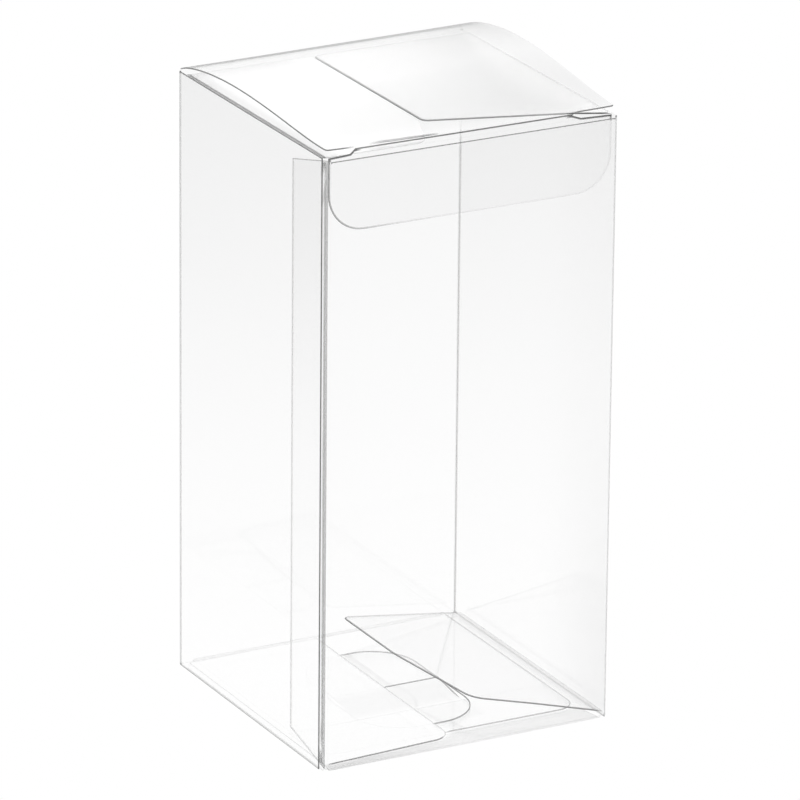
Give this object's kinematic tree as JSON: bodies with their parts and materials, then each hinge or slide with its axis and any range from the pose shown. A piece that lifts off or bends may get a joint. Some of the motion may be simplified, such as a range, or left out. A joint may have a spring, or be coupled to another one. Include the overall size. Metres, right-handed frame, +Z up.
{
  "type": "clear plastic box",
  "caption": "Tall square tuck-top box of thin clear plastic film: bowed hinged lid with a tuck flap, dust flaps, and a tongue-locked bottom.",
  "frame": {"origin": "middle of the base, on the surface that the box stands on", "axes": "+Z up, the front wall with the tuck flap faces -Y, the lid is hinged on the back wall at +Y, and the glued seam is at the front left corner, at -X"},
  "size_m": [0.0768, 0.0768, 0.1587],
  "materials": {
    "wall_film": "clear, glossy",
    "crease_film": "clear, whitened by the press",
    "lid_film": "clear, glossy",
    "flap_film": "clear, glossy",
    "bottom_film": "clear, glossy"
  },
  "bodies": {
    "shell": {"front_wall": "wall_film", "right_wall": "wall_film", "back_wall": "wall_film", "left_wall": "wall_film", "glue_flap": "wall_film", "crease_front_left": "crease_film", "crease_front_right": "crease_film", "crease_back_right": "crease_film", "crease_back_left": "crease_film", "bottom_back_panel": "bottom_film"},
    "lid": {"lid": "lid_film"},
    "tuck": {"tuck_flap": "lid_film"},
    "top_left_flap": {"top_left_dust_flap": "flap_film"},
    "top_right_flap": {"top_right_dust_flap": "flap_film"},
    "bottom_left_flap": {"bottom_left_dust_flap": "flap_film"},
    "bottom_right_flap": {"bottom_right_dust_flap": "flap_film"},
    "bottom_front": {"bottom_front_panel": "bottom_film", "bottom_tongue": "bottom_film"}
  },
  "joints": [
    {"name": "lid_hinge", "type": "hinge", "parent": "shell", "child": "lid", "pos_m": [0, 0.03825, 0.1527], "axis": [-1, 0, 0], "range_deg": [0, 115]},
    {"name": "tuck_hinge", "type": "hinge", "parent": "lid", "child": "tuck", "pos_m": [0, -0.0366, 0.1536], "axis": [1, 0, 0], "range_deg": [0, 36.8]},
    {"name": "top_left_hinge", "type": "hinge", "parent": "shell", "child": "top_left_flap", "pos_m": [-0.03735, 0, 0.15195], "axis": [0, 1, 0], "range_deg": [0, 80]},
    {"name": "top_right_hinge", "type": "hinge", "parent": "shell", "child": "top_right_flap", "pos_m": [0.03795, 0, 0.15195], "axis": [0, -1, 0], "range_deg": [0, 80]},
    {"name": "bottom_left_hinge", "type": "hinge", "parent": "shell", "child": "bottom_left_flap", "pos_m": [-0.03735, 0, 0.00165], "axis": [0, -1, 0], "range_deg": [0, 78]},
    {"name": "bottom_right_hinge", "type": "hinge", "parent": "shell", "child": "bottom_right_flap", "pos_m": [0.03795, 0, 0.00165], "axis": [0, 1, 0], "range_deg": [-4, 72]},
    {"name": "bottom_front_hinge", "type": "hinge", "parent": "shell", "child": "bottom_front", "pos_m": [0, -0.03825, 0.00015], "axis": [-1, 0, 0], "range_deg": [0, 90], "deforming": ["bottom_tongue"]}
  ],
  "couplings": [
    {"joint": "tuck_hinge", "follows": "lid_hinge", "ratio": 0.32}
  ]
}
